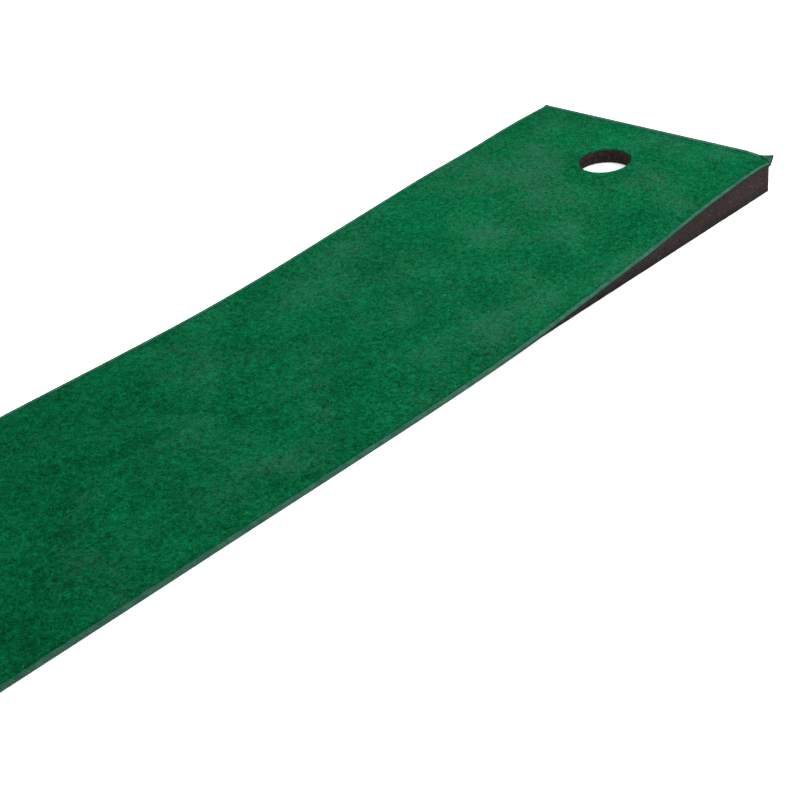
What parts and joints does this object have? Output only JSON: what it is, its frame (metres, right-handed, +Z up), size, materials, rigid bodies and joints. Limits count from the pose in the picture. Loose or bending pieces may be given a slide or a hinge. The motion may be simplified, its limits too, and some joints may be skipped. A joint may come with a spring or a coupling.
{
  "type": "practice putting mat",
  "caption": "Long felt putting mat with bound edges and a rubber backing, raised at one end by a removable foam ramp with a shallow cup.",
  "frame": {"origin": "middle of the footprint, on the floor", "axes": "+Y along the mat towards its raised end, +X across it to the right when looking up the slope, +Z up"},
  "size_m": [0.59, 2.438, 0.0683],
  "materials": {
    "turf": "matte",
    "backing": "matte",
    "binding": "matte",
    "foam": "matte",
    "cup_floor": "matte",
    "hook": "matte",
    "loop": "matte"
  },
  "bodies": {
    "mat": {"turf_sheet": "turf", "rubber_backing": "backing", "edge_binding_left": "binding", "edge_binding_right": "binding", "edge_binding_front": "binding", "edge_binding_rear": "binding", "loop_strip_left": "loop", "loop_strip_right": "loop"},
    "ramp": {"foam_ramp": "foam", "cup_floor": "cup_floor", "hook_strip_left": "hook", "hook_strip_right": "hook"}
  },
  "joints": [
    {"name": "ramp_slide", "type": "slide", "parent": "mat", "child": "ramp", "axis": [0, 1, 0], "range_m": [0, 0.9]}
  ]
}
